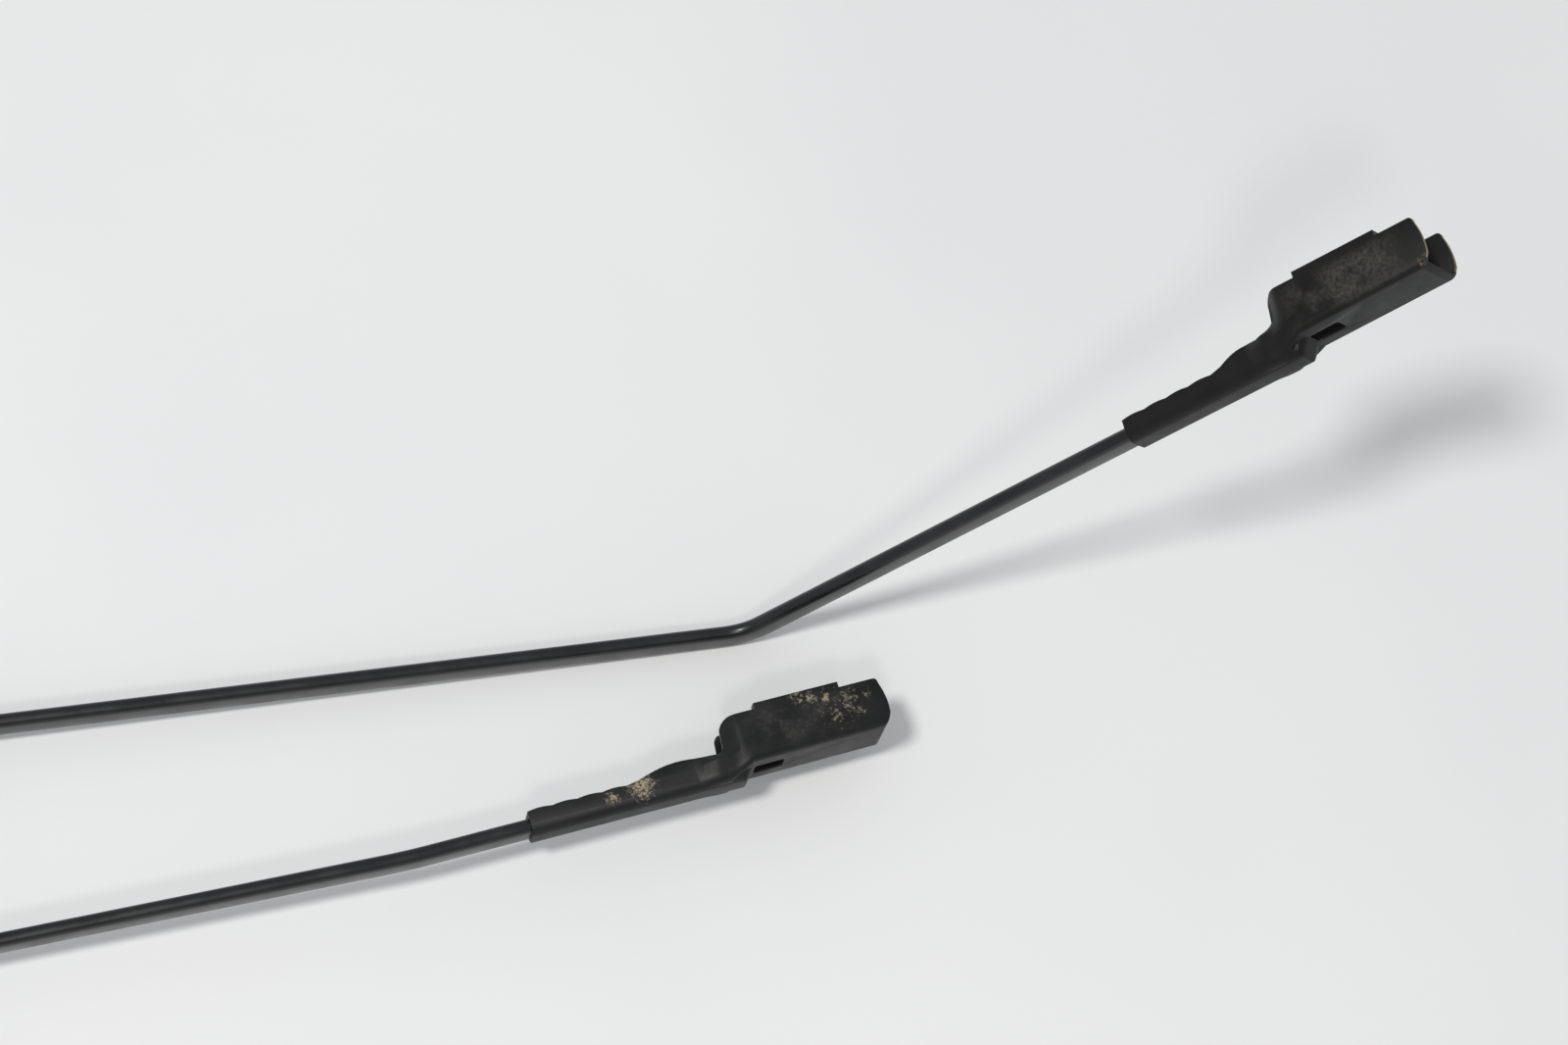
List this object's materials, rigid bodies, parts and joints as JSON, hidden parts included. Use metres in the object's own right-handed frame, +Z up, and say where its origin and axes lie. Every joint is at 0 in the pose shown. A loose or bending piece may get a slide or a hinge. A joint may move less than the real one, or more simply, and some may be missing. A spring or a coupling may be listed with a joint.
{
  "type": "windscreen wiper arm pair",
  "caption": "Pair of spring-loaded front windscreen wiper arms without blades, with flat rods, hooked channel holders, hinged heads and nut caps.",
  "frame": {"origin": "the long arm's spindle axis, halfway across its head", "axes": "+X along the arms towards the blade holders, +Y towards the glass side of the arms, which lie on their sides, +Z up from the ground they lie on"},
  "size_m": [0.6384, 0.2501, 0.1761],
  "materials": {
    "long_holder_paint": "worn matte",
    "short_holder_paint": "matte",
    "rod_paint": "satin",
    "retainer_paint": "satin",
    "head_paint": "matte",
    "bare_steel": "plain",
    "spring_steel": "plain",
    "bush_brass": "plain",
    "washer_plastic": "matte",
    "cap_plastic": "matte"
  },
  "bodies": {
    "long_arm": {"long_blade_holder": "long_holder_paint", "long_rod": "rod_paint", "long_retainer": "retainer_paint", "long_rod_rivets": "bare_steel", "long_anchor_pin": "bare_steel", "long_hinge_pins": "bare_steel", "long_hinge_washers": "washer_plastic", "long_spring": "spring_steel"},
    "long_head": {"long_head": "head_paint", "long_hinge_bushes": "bush_brass", "long_link_pin": "bare_steel"},
    "long_link": {"long_spring_link": "bare_steel"},
    "long_cap": {"long_nut_cap": "cap_plastic"},
    "short_arm": {"short_blade_holder": "short_holder_paint", "short_rod": "rod_paint", "short_retainer": "retainer_paint", "short_rod_rivets": "bare_steel", "short_anchor_pin": "bare_steel", "short_hinge_pins": "bare_steel", "short_hinge_washers": "washer_plastic", "short_spring": "spring_steel"},
    "short_head": {"short_head": "head_paint", "short_hinge_bushes": "bush_brass", "short_link_pin": "bare_steel"},
    "short_link": {"short_spring_link": "bare_steel"},
    "short_cap": {"short_nut_cap": "cap_plastic"}
  },
  "joints": [
    {"name": "long_head_hinge", "type": "hinge", "parent": "long_arm", "child": "long_head", "pos_m": [0.0412, 0.00808, -0.00097], "axis": [0.0227, 0.0045, 0.9997], "range_deg": [0, 90], "stiffness_Nm_per_rad": 0.4, "springref_deg": -126.05, "deforming": ["long_spring"]},
    {"name": "long_link_pivot", "type": "hinge", "parent": "long_head", "child": "long_link", "pos_m": [0.03746, 0.01572, -0.00092], "axis": [0.0227, 0.0045, 0.9997], "range_deg": [-90, 0]},
    {"name": "long_cap_pull", "type": "slide", "parent": "long_head", "child": "long_cap", "axis": [0.1925, -0.9813, 0], "range_m": [0, 0.014]},
    {"name": "short_head_hinge", "type": "hinge", "parent": "short_arm", "child": "short_head", "pos_m": [-0.00181, -0.07932, -0.00034], "axis": [-0.0169, -0.0043, 0.9998], "range_deg": [0, 90], "stiffness_Nm_per_rad": 0.4, "springref_deg": -126.05, "deforming": ["short_spring"]},
    {"name": "short_link_pivot", "type": "hinge", "parent": "short_head", "child": "short_link", "pos_m": [-0.00599, -0.07192, -0.00038], "axis": [-0.0169, -0.0043, 0.9998], "range_deg": [-90, 0]},
    {"name": "short_cap_pull", "type": "slide", "parent": "short_head", "child": "short_cap", "axis": [0.2487, -0.9686, 0], "range_m": [0, 0.014]},
    {"name": "short_arm_lift", "type": "slide", "parent": "long_arm", "child": "short_arm", "axis": [0, 0, 1], "range_m": [0, 0.15]}
  ],
  "couplings": [
    {"joint": "long_link_pivot", "follows": "long_head_hinge", "ratio": -1},
    {"joint": "short_link_pivot", "follows": "short_head_hinge", "ratio": -1}
  ]
}
